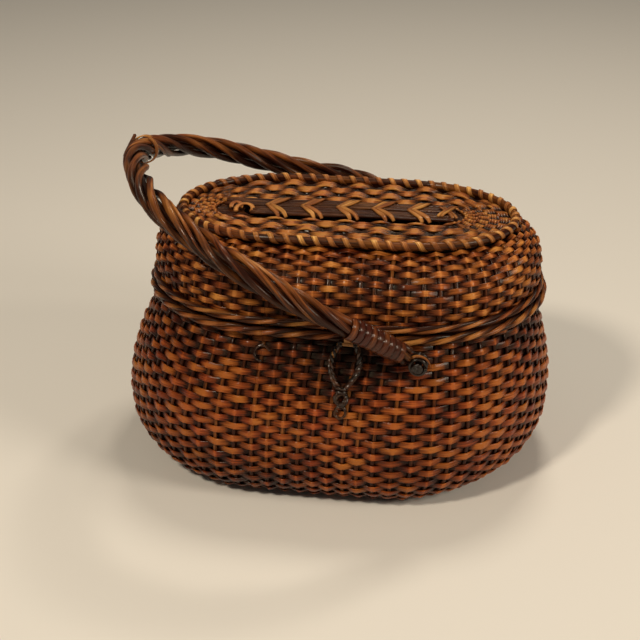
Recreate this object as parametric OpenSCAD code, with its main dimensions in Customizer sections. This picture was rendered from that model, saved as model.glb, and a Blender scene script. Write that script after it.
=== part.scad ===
/* [Basket] */
// Length of the basket at its belly
basket_len = 300; // [280:5:330]
// Depth of the basket at its belly, front to back
basket_depth = 232; // [226:2:240]
// Height of the belly above the floor
belly_z = 48; // [40:1:56]
// Height of the top edge of the woven wall
mouth_z = 118; // [110:0.5:124]
// Length of the woven wall at its mouth
mouth_len = 262; // [250:1:272]
// Depth of the woven wall at its mouth
mouth_depth = 183; // [174:1:190]
// Length of the flat base
base_len = 194; // [180:2:210]
// Depth of the flat base
base_depth = 160; // [140:2:170]
// Straight run along the front and the back
flat_run = 80; // [70:2:90]
// Thickness of the woven wall
wall = 4; // [3:0.5:5]
// Thickness of the woven base
base_t = 4; // [3:0.5:6]
// How square the turn from base to belly is
base_turn = 2.5; // [2:0.1:3]
// How far the mouth and the lid sit to the right of the base
lean = 7; // [0:0.5:9]
// Diameter of the rod along the mouth
border_d = 5; // [4:0.5:6]

/* [Stakes and sticks] */
// Stakes along each straight run
stakes_flat = 8; // [6:1:12]
// Stakes around each end
stakes_end = 27; // [20:1:29]
// Width of a stake
stake_w = 4; // [2.5:0.5:5]
// Thickness of a stake
stake_t = 1.6; // [1:0.2:2.4]
// Width of a base stick
stick_w = 5; // [3:0.5:7]
// Thickness of a base stick
stick_t = 3; // [2:0.5:4]
// Distance between the long base sticks
long_stick_gap = 18; // [12:1:22]
// Distance between the cross base sticks
cross_stick_gap = 20; // [12:1:22]

/* [Lid] */
// Height of the lid wall
lid_wall_h = 45; // [40:1:52]
// Length of the lid wall at its top edge
top_len = 233; // [220:2:240]
// Depth of the lid wall at its top edge
top_depth = 122; // [110:2:132]
// Straight run along the top edge
top_run = 80; // [70:2:90]
// How far the ends of the lid swell past its lower edge
end_swell = 7; // [0:1:12]
// Diameter of the rim rod
rim_d = 6; // [4:0.5:8]
// Thickness of the top panel
panel_t = 4; // [3:0.5:5]
// Diameter of the rope along the lower edge
rope_d = 6.6; // [5:0.2:7.4]
// Height of the flat strand above the rope
band_h = 6; // [3:0.5:8]
// Thickness of the flat strand
band_t = 2.6; // [1.5:0.2:3.4]

/* [Slats] */
// Length of the two slats
slat_len = 160; // [150:1:170]
// Width of a slat
slat_w = 13; // [10:0.5:14]
// Thickness of a slat
slat_t = 2.4; // [1.6:0.2:3]
// Space between the two slats
slat_gap = 1.6; // [1:0.2:3]
// Number of ties along the slats
tie_count = 5; // [4:1:6]
// Distance between the ties
tie_pitch = 24.4; // [20:0.2:26]
// Width of a tie
tie_w = 2.4; // [1.6:0.2:3]
// Thickness of a tie
tie_t = 1.2; // [0.8:0.2:1.6]
// Width of the open slot beside the slats
slot_w = 3.4; // [2:0.2:5]

/* [Handle] */
// Distance of the handle pivots to the right of the middle
pivot_x = 68.5; // [62:0.5:72]
// Diameter of a pivot peg
peg_d = 5; // [4:0.5:5.5]
// Diameter of one vine of the handle
vine_d = 4.6; // [3.6:0.2:4.8]
// Distance of the vines from the middle of the bundle
bundle_r = 6.1; // [5.6:0.1:6.6]
// Distance of the vines from the middle where they are bound
bound_r = 4.2; // [4.2:0.1:4.6]
// Full turns of the vines from end to end
vine_turns = 5; // [3:0.5:6]
// Turns of each binding
bind_turns = 9; // [6:1:9]
// Distance between the turns of a binding
bind_pitch = 4.6; // [4.5:0.1:5]
// Width of the splint that binds the handle
splint_w = 3.6; // [2.6:0.1:3.8]
// Thickness of the splint
splint_t = 1.2; // [0.8:0.1:1.4]

/* [Hinges and latch] */
// Distance of each hinge from the middle
hinge_x = 28; // [22:1:30]
// Diameter of a hinge rod
hinge_rod_d = 2.8; // [2.2:0.1:3]
// Outer diameter of a hinge knuckle
knuckle_d = 5.2; // [4.6:0.1:5.4]
// Place of the latch to the right of the middle
latch_x = 22.5; // [16:0.5:26]
// Width of the latch loop at its widest
latch_w = 20; // [16:1:24]
// Length of the latch loop
latch_len = 31; // [26:1:34]
// Diameter of the latch strand
latch_d = 2.2; // [1.6:0.1:2.6]

/* [Clearances] */
// Clearance between seated pieces
seat_gap = 0.15; // [0.1:0.05:0.3]
// Clearance between the lid and the basket
lid_gap = 0.4; // [0.3:0.05:0.5]
// Radial clearance of a turning fit
run_gap = 0.05; // [0.03:0.01:0.08]

/* [Hidden] */
$fn = 48;

// Colours of the cane, from light to dark
cane_light = [0.62, 0.36, 0.15];
cane_mid = [0.42, 0.17, 0.06];
cane_red = [0.33, 0.11, 0.04];
cane_dark = [0.16, 0.06, 0.03];

// Half sizes of the plan at the levels that shape it
belly_a = basket_len / 2;
belly_b = basket_depth / 2;
mouth_a = mouth_len / 2;
mouth_b = mouth_depth / 2;
base_a = base_len / 2;
base_b = base_depth / 2;
run = flat_run / 2;

// Levels of the lid
border_z = mouth_z + seat_gap + border_d / 2;
lid_z = mouth_z + seat_gap + border_d + lid_gap;
top_z = lid_z + lid_wall_h;
rim_z = top_z + seat_gap + rim_d / 2;
panel_top = top_z + 1.5;

// Half sizes of the lid at its lower edge and its top edge
border_a = mouth_a - wall / 2;
border_b = mouth_b - wall / 2;
rope_a = border_a + border_d / 2 + lid_gap + rope_d / 2;
rope_b = border_b + border_d / 2 + lid_gap + rope_d / 2;
rope_z = lid_z - 1.6;
edge_a = mouth_a + 0.4;
edge_b = mouth_b + 0.4;
top_a = top_len / 2;
top_b = top_depth / 2;
rim_a = top_a - rim_d / 3;
rim_b = top_b - rim_d / 3;

// Handle pivots stand clear of the rope along the lid
pivot_z = mouth_z - 5.5;
eye_d = 13;
eye_inner = rope_b + rope_d / 2 + 2.2;
eye_len = 12.6;
pivot_y = eye_inner + eye_len / 2;

// Hinge axis runs behind the basket, just under the rope
hinge_y = rope_b + rope_d / 2 + 1.9;
hinge_z = rope_z - 4.7;

// Latch hangs from a pin in front of the rope
latch_reach = rope_d / 2 + 2.5;
latch_y = -(rope_b + latch_reach * cos(30));
latch_z = rope_z - latch_reach * sin(30);
latch_lean = 16;

// Stations around the plan
plan_n = 2 * (stakes_flat + stakes_end);

// Plain helpers
function lerp(a, b, t) = a + (b - a) * t;
function unit(v) = v / norm(v);
function bezier(p, t) =
  p[0] * pow(1 - t, 3) + 3 * p[1] * t * pow(1 - t, 2)
  + 3 * p[2] * pow(t, 2) * (1 - t) + p[3] * pow(t, 3);

// Point of the plan at station u, for half length a, half depth b and straight half run s
function plan(u, a, b, s) =
  let (v = (u + plan_n) % plan_n, nf = stakes_flat, ne = stakes_end)
  v < nf ? [lerp(-s, s, v / nf), -b]
  : v < nf + ne ? let (w = -90 + 180 * (v - nf) / ne) [s + (a - s) * cos(w), b * sin(w)]
  : v < 2 * nf + ne ? [lerp(s, -s, (v - nf - ne) / nf), b]
  : let (w = 90 + 180 * (v - 2 * nf - ne) / ne) [-s + (a - s) * cos(w), b * sin(w)];

// The whole basket leans a little, more so towards the mouth
function lean_at(z) = lean * pow(min(z, mouth_z) / mouth_z, 2);

// One level of a shell, as a ring of points
function level(k, grow = 0) =
  [for (i = [0:plan_n - 1]) let (p = plan(i, k[0] + grow, k[1] + grow, k[3])) [p[0] + lean_at(k[2]), p[1], k[2]]];

// Outline of the basket: half length, half depth, height and straight half run at t from 0 to 1
turn_share = 0.5;
function basket_at(t) =
  t < turn_share
  ? let (w = 90 * t / turn_share, out = pow(sin(w), 2 / base_turn), up = 1 - pow(cos(w), 2 / base_turn))
    [lerp(base_a, belly_a, out), lerp(base_b, belly_b, out), belly_z * up, run]
  : let (w = (t - turn_share) / (1 - turn_share), in = 1 - cos(90 * w))
    [lerp(belly_a, mouth_a, in), lerp(belly_b, mouth_b, in), lerp(belly_z, mouth_z, w), run];

// Half depth and half length of the wall at a height above the belly
function wall_in(z) = 1 - cos(90 * (z - belly_z) / (mouth_z - belly_z));
function wall_b(z) = lerp(belly_b, mouth_b, wall_in(z));
function wall_a(z) = lerp(belly_a, mouth_a, wall_in(z));

// Inner face of the basket, at the same t
function basket_in(t) =
  let (k = basket_at(t))
  [k[0] - wall, k[1] - wall, base_t + k[2] * (mouth_z - base_t) / mouth_z, k[3]];

// Outline of the lid at t from 0 to 1, and its inner face
function lid_at(t) =
  let (
    a = bezier([edge_a, edge_a + end_swell, edge_a + end_swell / 2, top_a], t),
    b = bezier([edge_b, edge_b, edge_b - 10, top_b], t),
    z = bezier([0, 0.38, 0.87, 1] * lid_wall_h, t)
  )
  [a, b, lid_z + z, lerp(run, top_run / 2, t)];
function lid_in(t) =
  let (k = lid_at(t))
  [k[0] - wall, k[1] - wall, k[2] - wall * t, k[3]];

// Closed skin through rings of equal length; the first ring follows the last when looped
module skin(rings, looped = false) {
  n = len(rings[0]);
  m = len(rings);
  pts = [for (r = rings) each r];
  last = looped ? m - 1 : m - 2;
  sides = [
    for (i = [0:last]) for (j = [0:n - 1])
      let (i2 = (i + 1) % m, j2 = (j + 1) % n, a = i * n + j, b = i * n + j2, c = i2 * n + j2, d = i2 * n + j)
      each [[a, d, c], [a, c, b]]
  ];
  ends = looped ? [] : concat(
    [for (j = [1:n - 2]) [0, j, j + 1]],
    [for (j = [1:n - 2]) [(m - 1) * n, (m - 1) * n + j + 1, (m - 1) * n + j]]
  );
  polyhedron(points = pts, faces = concat(sides, ends));
}

// Shell between an outer and an inner outline
module shell(outer, inner) {
  skin(concat([for (k = outer) level(k)], [for (i = [len(inner) - 1:-1:0]) level(inner[i])]), looped = true);
}

// Rod around the plan, with a round section of few sides
module plan_rod(a, b, z, s, d, sides = 6) {
  skin([
    for (j = [0:sides - 1])
      let (w = -360 * (j + 0.5) / sides, r = d / 2)
      level([a + r * cos(w), b + r * cos(w), z + r * sin(w), s])
  ], looped = true);
}

// Tube along a path, with a reference direction for each point and half sizes w and h
function frame_at(path, refs, i, looped) =
  let (
    n = len(path),
    p = looped ? path[(i + n - 1) % n] : path[max(0, i - 1)],
    q = looped ? path[(i + 1) % n] : path[min(n - 1, i + 1)],
    t = unit(q - p),
    a = unit(refs[i] - t * (refs[i] * t))
  )
  [a, cross(t, a)];
function tube_rings(path, refs, w, h, sides, looped) = [
  for (i = [0:len(path) - 1])
    let (f = frame_at(path, refs, i, looped))
    [for (j = [0:sides - 1])
      let (g = -360 * (j + 0.5) / sides) path[i] + f[0] * h * cos(g) + f[1] * w * sin(g)]
];
module tube(path, refs, w, h, sides = 6, looped = false) {
  skin(tube_rings(path, refs, w, h, sides, looped), looped);
}

// Middle line of the handle, from the front pivot over to the back pivot
handle_pts = [
  [pivot_x - 7.3, -pivot_y, pivot_z + 5.3], [38, -118.5, 134.5], [12, -131, 152.5], [-14, -133, 167],
  [-43, -131, 182.5], [-67, -119, 191.5], [-92, -105, 202.5], [-112, -81, 209], [-125, -51, 210],
  [-136, -18, 208], [-138, 14, 203], [-133, 47, 194.5], [-119, 78, 185], [-98, 101, 174],
  [-72, 114, 164], [-43, 121, 155.5], [-13, 128, 149], [14, 128, 142], [38, 121, 130],
  [pivot_x - 7.3, pivot_y, pivot_z + 5.3]
];
handle_ref = [0.42, 0, 0.9];
handle_n = len(handle_pts) - 1;

// Smooth curve through the handle points at u from 0 to handle_n
function handle_at(u) =
  let (
    i = min(floor(u), handle_n - 1),
    t = u - i,
    p1 = handle_pts[i],
    p2 = handle_pts[i + 1],
    p0 = i > 0 ? handle_pts[i - 1] : 2 * p1 - p2,
    p3 = i < handle_n - 1 ? handle_pts[i + 2] : 2 * p2 - p1
  )
  p1 + 0.5 * t * (p2 - p0 + t * (2 * p0 - 5 * p1 + 4 * p2 - p3 + t * (3 * p1 - p0 - 3 * p2 + p3)));
function handle_frame(u) =
  let (
    t = unit(handle_at(min(u + 0.05, handle_n)) - handle_at(max(u - 0.05, 0))),
    a = unit(handle_ref - t * (handle_ref * t))
  )
  [a, cross(t, a)];

// Point beside the handle line, at angle w and distance r
function beside(u, w, r) =
  let (f = handle_frame(u)) handle_at(u) + r * (f[0] * cos(w) + f[1] * sin(w));

// The bundle swells from its bound ends to its full size
bound_u = 1.5;
swell_u = 1.6;
function spread(u) =
  let (e = min(u, handle_n - u), t = min(1, max(0, (e - bound_u) / swell_u)))
  lerp(bound_r, bundle_r, t * t * (3 - 2 * t));
vine_us = [for (i = [0:3 * handle_n]) i / 3];

module vine(k) {
  turn = 360 * vine_turns / handle_n;
  path = [for (u = vine_us) beside(u, 72 * k + turn * u, spread(u))];
  refs = [for (i = [0:len(path) - 1]) path[i] - handle_at(vine_us[i])];
  tube(path, refs, vine_d / 2, vine_d / 2);
}

// Splint wound round the bundle, from u0 over a length, as one unbroken strip
splint_rings = 12;
function splint_path(u0, dir) =
  let (
    r = bound_r + vine_d / 2 + splint_t / 2 + 0.35,
    du = bind_pitch / norm(handle_at(u0 + dir) - handle_at(u0)),
    n = bind_turns * splint_rings
  )
  concat(
    [beside(u0, 0, r) - handle_frame(u0)[1] * splint_w],
    [for (i = [0:n]) beside(u0 + dir * du * i / splint_rings, 360 * i / splint_rings, r)],
    [beside(u0 + dir * du * bind_turns, 0, r) + handle_frame(u0 + dir * du * bind_turns)[1] * splint_w]
  );
function splint_refs(u0, dir) =
  let (du = bind_pitch / norm(handle_at(u0 + dir) - handle_at(u0)), n = bind_turns * splint_rings)
  concat(
    [handle_frame(u0)[0]],
    [for (i = [0:n])
      let (u = u0 + dir * du * i / splint_rings) beside(u, 360 * i / splint_rings, 1) - handle_at(u)],
    [handle_frame(u0 + dir * du * bind_turns)[0]]
  );

// Least gap from each ring of the splint to the turn beside it
function turn_gap(rings) = min([
  for (i = [0:len(rings) - splint_rings - 4]) for (k = [-2:2]) for (p = rings[i])
    for (q = rings[i + splint_rings + k]) norm(p - q)
]);
module binding(u0, dir) {
  path = splint_path(u0, dir);
  refs = splint_refs(u0, dir);
  echo(binding_least_gap = turn_gap(tube_rings(path, refs, splint_w / 2, splint_t / 2, 6, false)));
  tube(path, refs, splint_w / 2, splint_t / 2);
}

module basket_wall() {
  steps = 12;
  color(cane_mid)
    shell(
      [for (i = [0:steps]) basket_at(i / steps)],
      concat([basket_foot()], [for (i = [0:steps]) basket_in(i / steps)])
    );
}
function basket_foot() = [base_a - wall, base_b - wall, 0, run];

module basket_base() {
  color(cane_mid)
    linear_extrude(base_t)
      polygon([for (i = [0:plan_n - 1]) plan(i, base_a - wall - seat_gap, base_b - wall - seat_gap, run)]);
}

module base_sticks() {
  long_half = base_a - wall - 8;
  cross_half = base_b - wall - 4;
  color(cane_red) {
    for (k = [-1:1])
      translate([-long_half, k * long_stick_gap - stick_w / 2, base_t])
        cube([2 * long_half, stick_w, stick_t]);
    for (k = [-3:3])
      translate([k * cross_stick_gap - stick_w / 2, -cross_half, base_t + stick_t])
        cube([stick_w, 2 * cross_half, stick_t]);
  }
}

// Stake along the inner face of a shell, at station u
module stake(outline, u, ts) {
  half = stake_w / 2;
  gap = 0.5;
  rings = [
    for (t = ts)
      let (
        k = outline(t),
        x = lean_at(k[2]),
        p = plan(u, k[0] - gap, k[1] - gap, k[3]),
        q = plan(u, k[0] - gap - stake_t, k[1] - gap - stake_t, k[3]),
        side = unit(plan(u + 0.5, k[0], k[1], k[3]) - plan(u - 0.5, k[0], k[1], k[3])) * half
      )
      [
        [p[0] - side[0] + x, p[1] - side[1], k[2]], [p[0] + side[0] + x, p[1] + side[1], k[2]],
        [q[0] + side[0] + x, q[1] + side[1], k[2]], [q[0] - side[0] + x, q[1] - side[1], k[2]]
      ]
  ];
  skin(rings);
}

module wall_stakes() {
  color(cane_dark)
    for (i = [0:plan_n - 1])
      stake(function (t) basket_in(t), i, [1 / 6, 5 / 12, 2 / 3, 0.99]);
}

module mouth_border() {
  color(cane_red)
    plan_rod(border_a, border_b, border_z, run, border_d);
}

// A hinge rod with a lug at each side of the strap that turns on it
hinge_w = 4;
module along_x(d, x0, x1, y, z) {
  translate([x0, y, z]) rotate([0, 90, 0]) cylinder(d = d, h = x1 - x0);
}
module hinge_lugs() {
  drop = 5;
  reach = hinge_y - wall_b(hinge_z - drop) - 0.6;
  arm = norm([drop, reach]);
  color(cane_dark)
    for (s = [-1, 1]) for (k = [-1, 1])
      translate([lean + s * hinge_x + k * (hinge_w + lid_gap) - hinge_w / 2, hinge_y, hinge_z])
        rotate([90, 0, 90])
          linear_extrude(hinge_w)
            difference() {
              union() {
                circle(d = knuckle_d);
                rotate(atan2(drop, reach)) translate([-arm, -1.2]) square([arm - 1, 2.4]);
              }
              circle(d = hinge_rod_d);
            }
}
module hinge_rods() {
  half = 1.5 * hinge_w + lid_gap;
  color(cane_light)
    for (s = [-1, 1])
      along_x(hinge_rod_d, lean + s * hinge_x - half, lean + s * hinge_x + half, hinge_y, hinge_z);
}
module hinge_straps() {
  strap_t = 1.4;
  strap_top = lid_z + 1.5 + band_h;
  strap_y = hinge_y + knuckle_d / 2 - strap_t;
  color(cane_dark)
    for (s = [-1, 1])
      translate([lean + s * hinge_x, 0, 0])
        difference() {
          union() {
            along_x(knuckle_d, -hinge_w / 2, hinge_w / 2, hinge_y, hinge_z);
            translate([-hinge_w / 2, strap_y, hinge_z])
              cube([hinge_w, strap_t, strap_top - hinge_z]);
            translate([-hinge_w / 2, edge_b + band_t + 0.7, strap_top - strap_t])
              cube([hinge_w, strap_y + strap_t - edge_b - band_t - 0.7, strap_t]);
          }
          along_x(hinge_rod_d + 2 * run_gap, -hinge_w, hinge_w, hinge_y, hinge_z);
        }
}

// Peg that carries one end of the handle; side is -1 at the front and 1 at the back
module pivot_peg(side) {
  head_t = 2;
  low = pivot_z - peg_d / 2;
  start = wall_b(low) * sqrt(1 - pow((pivot_x - lean - run) / (wall_a(low) - run), 2)) + 0.2;
  tip = eye_inner + eye_len + 0.4;
  color(cane_dark)
    translate([pivot_x, 0, pivot_z])
      rotate([side * -90, 0, 0]) {
        translate([0, 0, start]) cylinder(d = peg_d, h = tip - start + head_t);
        translate([0, 0, tip]) cylinder(d = peg_d + 4, h = head_t);
      }
}
module pivot_peg_front() { pivot_peg(-1); }
module pivot_peg_back() { pivot_peg(1); }

// Small cane hook low under the rope, left of the latch
module side_loop() {
  loop_x = -34;
  loop_z = mouth_z - 10.5;
  loop_r = 6;
  strand = 2;
  color(cane_light)
    translate([loop_x, -wall_b(loop_z) - strand / 2 - 0.3, loop_z])
      rotate([62, 0, 0])
        rotate([0, 0, 20])
          rotate_extrude(angle = 250) translate([loop_r - strand / 2, 0]) circle(d = strand);
}

module lid_wall() {
  steps = 6;
  color(cane_mid)
    shell(
      [for (i = [0:steps]) lid_at(i / steps)],
      [for (i = [0:steps]) lid_in(i / steps)]
    );
}
module lid_stakes() {
  color(cane_dark)
    for (i = [0:plan_n - 1])
      stake(function (t) lid_in(t), i, [0.03, 0.45, 0.8]);
}
module lid_top_panel() {
  edge = rim_d / 2 + 0.1;
  slot_y = slat_gap / 2 + slat_w + 0.6;
  color(cane_red)
    translate([0, 0, panel_top - panel_t])
      linear_extrude(panel_t)
        difference() {
          translate([lean, 0])
            polygon([for (i = [0:plan_n - 1]) plan(i, rim_a - edge, rim_b - edge, top_run / 2)]);
          on_top()
            for (s = [-1, 1])
              translate([0, s * (slot_y + slot_w / 2)])
                square([slat_len - 16, slot_w], center = true);
        }
}
module lid_rim_rod() {
  color(cane_light)
    plan_rod(rim_a, rim_b, rim_z, top_run / 2, rim_d);
}

// Flat strand that follows the lid wall above the rope
module lid_edge_band() {
  gap = 0.25;
  low = lid_at(0.03);
  high = lid_at(0.03 + band_h / lid_wall_h * 0.85);
  color(cane_dark)
    skin([level(low, gap), level(low, gap + band_t), level(high, gap + band_t), level(high, gap)], looped = true);
}
module lid_edge_rope() {
  color(cane_red)
    plan_rod(rope_a, rope_b, rope_z, run, rope_d);
}

// Slats along the middle of the top, turned a little in it
slat_z = panel_top;
slat_end = slat_len / 2;
slat_short = 20;
module on_top() {
  translate([lean - 6, 2, 0]) rotate([0, 0, 3]) children();
}
module lid_slat_front() {
  color(cane_dark)
    on_top() translate([slat_short - slat_end, -slat_gap / 2 - slat_w, slat_z])
      cube([slat_len - slat_short, slat_w, slat_t]);
}
module lid_slat_back() {
  color(cane_dark)
    on_top() translate([-slat_end, slat_gap / 2, slat_z])
      cube([slat_len, slat_w, slat_t]);
}

// Arrow-shaped ties over both slats
module slat_ties() {
  slope = 40;
  arm = (slat_gap / 2 + slat_w) / cos(slope);
  first = -tie_pitch * (tie_count - 1) / 2;
  color(cane_light)
    on_top()
      for (i = [0:tie_count - 1])
        translate([first + i * tie_pitch, 0, slat_z + slat_t])
          for (s = [-1, 1])
            rotate([0, 0, s * (90 - slope)])
              translate([-tie_w / 2, -tie_w / 2, 0])
                cube([arm, tie_w, tie_t]);
}
module slat_cross_tie() {
  arm = 1.3 * slat_w;
  color(cane_light)
    on_top() translate([slat_end - 7, 0, slat_z + slat_t])
      for (s = [-1, 1])
        rotate([0, 0, s * 60])
          translate([-arm / 2, -tie_w / 2, 0])
            cube([arm, tie_w, tie_t]);
}
module slat_end_curl() {
  strand = 2;
  color(cane_light)
    on_top()
      for (k = [0, 1])
        translate([slat_short - slat_end - 4.3, -3.9 - 8.2 * k, slat_z + strand / 2])
          rotate_extrude() translate([3, 0]) circle(d = strand);
}

// Wrap round the front of the rope, with the pin that the latch swings on
latch_pin_d = 2;
module latch_anchor() {
  wrap_w = 5;
  pin_half = 7;
  color(cane_light)
    union() {
      difference() {
        along_x(rope_d + 3.4, latch_x - wrap_w / 2, latch_x + wrap_w / 2, -rope_b, rope_z);
        along_x(rope_d + 0.4, latch_x - wrap_w, latch_x + wrap_w, -rope_b, rope_z);
        translate([latch_x - wrap_w, -rope_b - 0.5, rope_z - rope_d])
          cube([2 * wrap_w, 2 * rope_d, 2 * rope_d]);
      }
      along_x(latch_pin_d, latch_x - pin_half, latch_x + pin_half, latch_y, latch_z);
    }
}

// Everything of the latch hangs in one leaning plane below its pin
eye_w = 3;
eye_x = 5;
module hang() {
  translate([latch_x, latch_y, latch_z]) rotate([-latch_lean, 0, 0]) children();
}
module latch_eyes() {
  color(cane_dark)
    hang()
      for (s = [-1, 1])
        translate([s * eye_x, 0, 0])
          difference() {
            along_x(latch_pin_d + 2, -eye_w / 2, eye_w / 2, 0, 0);
            along_x(latch_pin_d + 2 * run_gap, -eye_w, eye_w, 0, 0);
          }
}

// Drop-shaped strand, open between the two eyes
latch_shift = -3;
function drop_at(t) =
  let (
    p = t < 0.5
      ? bezier([[-eye_x, -3.2], [-latch_w * 0.66, -10], [-latch_w * 0.42, -latch_len * 0.72], [0, -latch_len]], 2 * t)
      : bezier([[0, -latch_len], [latch_w * 0.42, -latch_len * 0.72], [latch_w * 0.66, -10], [eye_x, -3.2]], 2 * t - 1)
  )
  [p[0] + latch_shift * p[1] / -latch_len, 0, p[1]];
module latch_loop() {
  steps = 24;
  path = [for (i = [0:steps]) drop_at(i / steps)];
  color(cane_dark)
    hang() tube(path, [for (p = path) [0, -1, 0]], latch_d / 2, latch_d / 2);
}
module latch_knot() {
  color(cane_dark)
    hang()
      translate([latch_shift, 0, -latch_len - latch_d / 2 - 3.8])
        rotate([90, 0, 0])
          rotate_extrude() translate([2.4, 0]) circle(d = 2.4);
}
module latch_tail() {
  color(cane_light)
    hang()
      translate([latch_shift, 0, -latch_len - latch_d / 2 - 12])
        rotate([90, 0, 0])
          rotate_extrude() translate([3.6, 0]) circle(d = 1.6);
}

// Middle vine that the others are twisted round
module handle_core() {
  us = [for (i = [0:2 * handle_n]) i / 2];
  path = [for (u = us) handle_at(u)];
  color(cane_dark)
    skin([
      for (i = [0:len(us) - 1])
        let (f = handle_frame(us[i]), r = spread(us[i]) - vine_d / 2 - 0.5)
        [for (j = [0:5]) path[i] + r * (f[0] * cos(-60 * j) + f[1] * sin(-60 * j))]
    ]);
}
module handle_vine_1() { color(cane_red) vine(0); }
module handle_vine_2() { color(cane_mid) vine(1); }
module handle_vine_3() { color(cane_red) vine(2); }
module handle_vine_4() { color(cane_mid) vine(3); }
module handle_vine_5() { color(cane_dark) vine(4); }

module handle_eye(side) {
  y0 = side > 0 ? eye_inner : -eye_inner - eye_len;
  color(cane_dark)
    translate([pivot_x, y0, pivot_z])
      rotate([-90, 0, 0])
        difference() {
          cylinder(d = eye_d, h = eye_len);
          translate([0, 0, -1]) cylinder(d = peg_d + 2 * run_gap, h = eye_len + 2);
        }
}
module handle_eye_front() { handle_eye(-1); }
module handle_eye_back() { handle_eye(1); }

module binding_front() { color(cane_red) binding(0.12, 1); }
module binding_back() { color(cane_red) binding(handle_n - 0.12, -1); }

// Thin strand tied round the bundle where the handle turns
tie_u = 9.8;
module corner_tie() {
  r = bundle_r + vine_d / 2 + 1.1;
  n = 24;
  us = [for (i = [0:n]) tie_u + 0.12 * i / n];
  path = [for (i = [0:n]) beside(us[i], 360 * i / n, r)];
  refs = [for (i = [0:n]) path[i] - handle_at(us[i])];
  color(cane_light)
    tube(path, refs, 0.8, 0.8);
}

basket_wall();
basket_base();
base_sticks();
wall_stakes();
mouth_border();
hinge_lugs();
hinge_rods();
pivot_peg_front();
pivot_peg_back();
side_loop();
lid_wall();
lid_stakes();
lid_top_panel();
lid_rim_rod();
lid_edge_band();
lid_edge_rope();
lid_slat_front();
lid_slat_back();
slat_ties();
slat_cross_tie();
slat_end_curl();
latch_anchor();
hinge_straps();
latch_eyes();
latch_loop();
latch_knot();
latch_tail();
handle_core();
handle_vine_1();
handle_vine_2();
handle_vine_3();
handle_vine_4();
handle_vine_5();
handle_eye_front();
handle_eye_back();
binding_front();
binding_back();
corner_tie();
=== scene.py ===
import math
import random

import bmesh
import bpy
import numpy as np
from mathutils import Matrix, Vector


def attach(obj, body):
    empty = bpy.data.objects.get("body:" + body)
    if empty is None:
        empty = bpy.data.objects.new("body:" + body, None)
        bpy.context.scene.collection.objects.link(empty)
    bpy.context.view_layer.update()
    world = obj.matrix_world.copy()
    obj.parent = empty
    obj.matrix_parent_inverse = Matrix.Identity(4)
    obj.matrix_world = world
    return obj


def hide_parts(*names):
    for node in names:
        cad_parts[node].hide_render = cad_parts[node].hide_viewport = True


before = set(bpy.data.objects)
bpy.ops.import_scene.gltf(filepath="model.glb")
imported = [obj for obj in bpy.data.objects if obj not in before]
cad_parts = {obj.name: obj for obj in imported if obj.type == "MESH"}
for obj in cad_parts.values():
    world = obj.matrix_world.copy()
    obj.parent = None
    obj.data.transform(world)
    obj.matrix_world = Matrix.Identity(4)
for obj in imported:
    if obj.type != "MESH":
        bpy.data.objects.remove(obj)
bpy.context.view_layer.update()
dice = random.Random(11)

# Sizes of the creel, in millimetres, as in the CAD source
PER_METRE = 1000
SEAT_GAP, LID_GAP, WALL = 0.15, 0.4, 4.0
BORDER_D, ROPE_D, RIM_D = 5.0, 6.6, 6.0
BELLY_A, BELLY_B, BELLY_Z = 150.0, 116.0, 48.0
MOUTH_A, MOUTH_B, MOUTH_Z = 131.0, 91.5, 118.0
BASE_A, BASE_B = 97.0, 80.0
RUN, BASE_TURN, LEAN = 40.0, 2.5, 7.0
LID_H, LID_SWELL = 45.0, 7.0
TOP_A, TOP_B = 116.5, 61.0
EYE_LEN, TIE_COUNT, TIE_PITCH = 12.6, 5, 24.4
BUNDLE_R, BOUND_R, VINE_TURNS = 6.1, 4.2, 5
BIND_PITCH, BIND_TURNS = 4.6, 9
LATCH_X, LATCH_LEN = 22.5, 31

# Levels and half sizes worked out from them
BORDER_A, BORDER_B = MOUTH_A - WALL / 2, MOUTH_B - WALL / 2
BORDER_Z = MOUTH_Z + SEAT_GAP + BORDER_D / 2
LID_Z = MOUTH_Z + SEAT_GAP + BORDER_D + LID_GAP
EDGE_A, EDGE_B = MOUTH_A + LID_GAP, MOUTH_B + LID_GAP
TOP_Z = LID_Z + LID_H
RIM_A, RIM_B = TOP_A - RIM_D / 3, TOP_B - RIM_D / 3
RIM_Z = TOP_Z + SEAT_GAP + RIM_D / 2
PANEL_Z = TOP_Z + 1.5
ROPE_A = BORDER_A + BORDER_D / 2 + LID_GAP + ROPE_D / 2
ROPE_B = BORDER_B + BORDER_D / 2 + LID_GAP + ROPE_D / 2
ROPE_Z = LID_Z - 1.6
PIVOT = (68.5, ROPE_B + ROPE_D / 2 + 2.2 + EYE_LEN / 2, MOUTH_Z - 5.5)
LATCH_REACH = ROPE_D / 2 + 2.5
LATCH_Y = -(ROPE_B + LATCH_REACH * math.cos(math.pi / 6))
LATCH_Z = ROPE_Z - LATCH_REACH / 2
LATCH_LEAN = math.radians(16)

# Stakes stand at stations: so many along a straight side, so many round an end
FLAT, ENDS = 8, 27
STATIONS = 2 * (FLAT + ENDS)
UP, DOWN, FRONT = (0, 0, 1), (0, 0, -1), np.array([0, -1.0, 0])

# Shapes


def plan(u, a, b, s):
    """Point of the oval plan at station u."""
    v = np.mod(u, STATIONS)
    right = np.radians(-90 + 180 * (v - FLAT) / ENDS)
    left = np.radians(90 + 180 * (v - 2 * FLAT - ENDS) / ENDS)
    where = [v < FLAT, v < FLAT + ENDS, v < 2 * FLAT + ENDS]
    x = np.select(where, [-s + 2 * s * v / FLAT, s + (a - s) * np.cos(right),
                          s - 2 * s * (v - FLAT - ENDS) / FLAT], -s + (a - s) * np.cos(left))
    y = np.select(where, [-b + 0 * v, b * np.sin(right), b + 0 * v], b * np.sin(left))
    return x, y


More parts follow.
